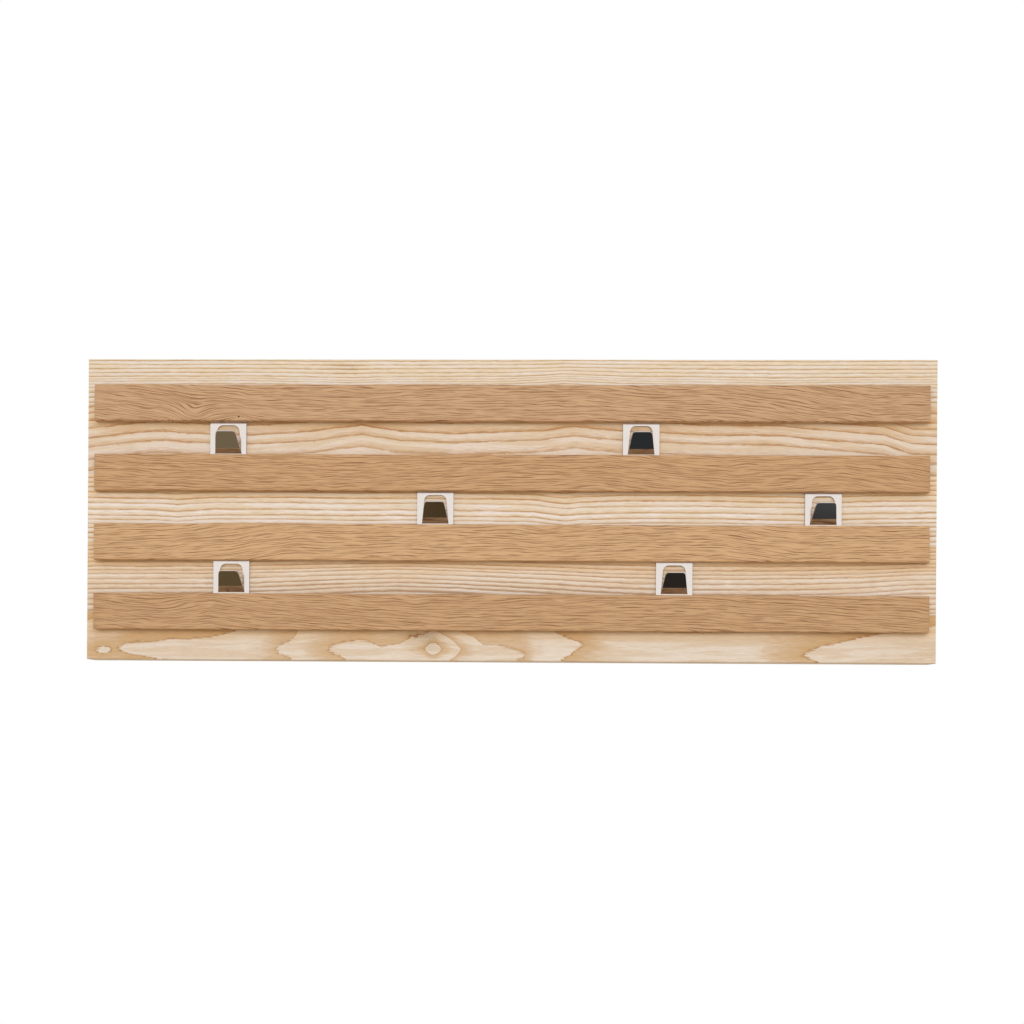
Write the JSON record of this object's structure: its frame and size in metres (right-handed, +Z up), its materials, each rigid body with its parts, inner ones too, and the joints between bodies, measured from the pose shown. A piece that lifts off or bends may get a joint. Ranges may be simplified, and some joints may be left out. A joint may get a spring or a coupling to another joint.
{
  "type": "wall coat rack",
  "caption": "Wall coat rack: a pale ash board with oak slats across its front and bent steel hooks that slide in tracks behind the slats' edges.",
  "frame": {"origin": "centre of the board's back face, on the wall", "axes": "+X to the right along the slats, +Y into the wall, +Z up; coats hang on the -Y side"},
  "size_m": [0.72, 0.0382, 0.256],
  "materials": {
    "ash": "planed pale ash, matt oiled, straight to cathedral grain",
    "oak": "planed oak, matt oiled, with short dark pores",
    "steel": "bright stainless sheet, satin face and polished tongue",
    "zinc": "zinc plated"
  },
  "bodies": {
    "rack": {"stave_top": "ash", "stave_upper": "ash", "stave_middle": "ash", "stave_lower": "ash", "stave_bottom": "ash", "slat_1": "oak", "slat_2": "oak", "slat_3": "oak", "slat_4": "oak", "slat_screw_1_1": "zinc", "slat_screw_1_2": "zinc", "slat_screw_1_3": "zinc", "slat_screw_1_4": "zinc", "slat_screw_2_1": "zinc", "slat_screw_2_2": "zinc", "slat_screw_2_3": "zinc", "slat_screw_2_4": "zinc", "slat_screw_3_1": "zinc", "slat_screw_3_2": "zinc", "slat_screw_3_3": "zinc", "slat_screw_3_4": "zinc", "slat_screw_4_1": "zinc", "slat_screw_4_2": "zinc", "slat_screw_4_3": "zinc", "slat_screw_4_4": "zinc", "hanger_left": "zinc", "hanger_right": "zinc", "hanger_screw_left_top": "zinc", "hanger_screw_left_bottom": "zinc", "hanger_screw_right_top": "zinc", "hanger_screw_right_bottom": "zinc"},
    "hook_top_left_body": {"hook_top_left": "steel"},
    "hook_top_right_body": {"hook_top_right": "steel"},
    "hook_middle_left_body": {"hook_middle_left": "steel"},
    "hook_middle_right_body": {"hook_middle_right": "steel"},
    "hook_bottom_left_body": {"hook_bottom_left": "steel"},
    "hook_bottom_right_body": {"hook_bottom_right": "steel"}
  },
  "joints": [
    {"name": "slide_top_left", "type": "slide", "parent": "rack", "child": "hook_top_left_body", "axis": [1, 0, 0], "range_m": [-0.0973, 0.319]},
    {"name": "slide_top_right", "type": "slide", "parent": "rack", "child": "hook_top_right_body", "axis": [1, 0, 0], "range_m": [-0.319, 0.2257]},
    {"name": "slide_middle_left", "type": "slide", "parent": "rack", "child": "hook_middle_left_body", "axis": [1, 0, 0], "range_m": [-0.2738, 0.296]},
    {"name": "slide_middle_right", "type": "slide", "parent": "rack", "child": "hook_middle_right_body", "axis": [1, 0, 0], "range_m": [-0.296, 0.0722]},
    {"name": "slide_bottom_left", "type": "slide", "parent": "rack", "child": "hook_bottom_left_body", "axis": [1, 0, 0], "range_m": [-0.1006, 0.3442]},
    {"name": "slide_bottom_right", "type": "slide", "parent": "rack", "child": "hook_bottom_right_body", "axis": [1, 0, 0], "range_m": [-0.3442, 0.1972]}
  ]
}
